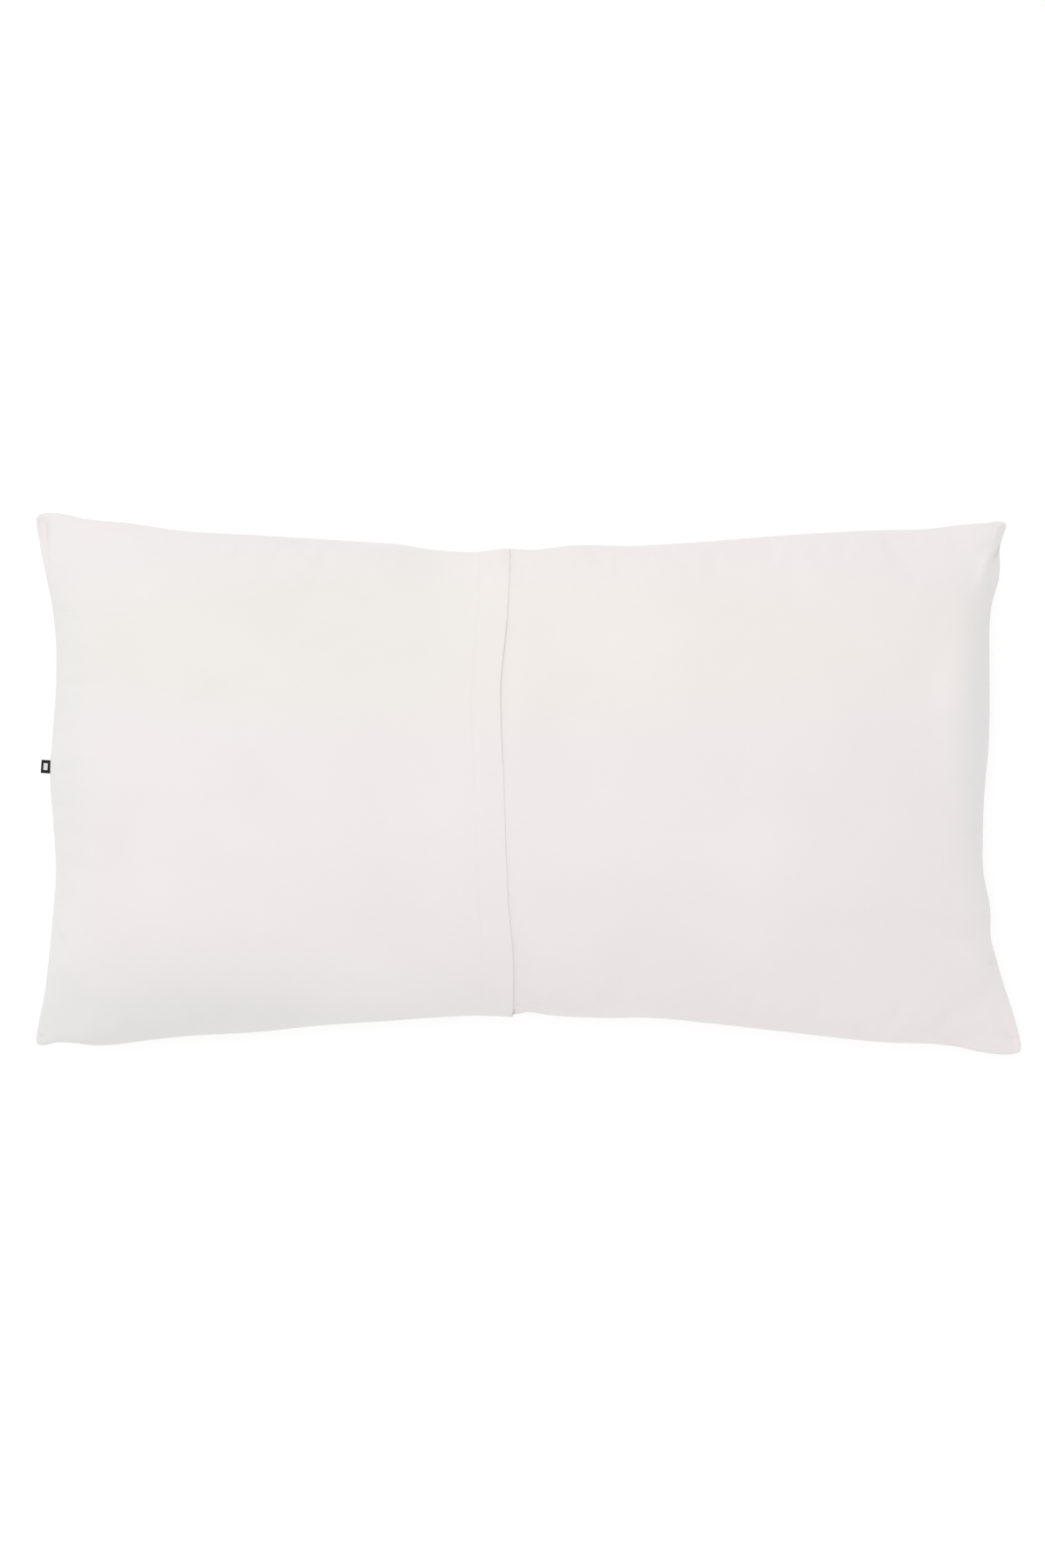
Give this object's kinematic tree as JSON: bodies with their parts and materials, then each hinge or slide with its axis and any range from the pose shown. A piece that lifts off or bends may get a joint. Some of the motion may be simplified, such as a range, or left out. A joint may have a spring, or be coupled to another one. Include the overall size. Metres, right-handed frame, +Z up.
{
  "type": "filled pillowcase with an envelope closure",
  "caption": "Plump rectangular pillowcase of smooth off-white cloth, lying on its front, with drawn-in sides, soft ears, an overlapping hemmed closure down its back and a small side tab.",
  "frame": {"origin": "on the floor under the middle of the case's outline", "axes": "+X along the case towards the end without the tab, +Y across it, +Z up through the back with its closure"},
  "size_m": [0.8912, 0.4902, 0.1828],
  "materials": {
    "case_cloth": "smooth matt cotton, off-white, fine close weave",
    "tab_ribbon": "woven black ribbon"
  },
  "bodies": {
    "root": {"filled_front_panel": "case_cloth", "right_back_panel": "case_cloth", "left_back_flap": "case_cloth", "side_tab": "tab_ribbon"}
  },
  "joints": []
}
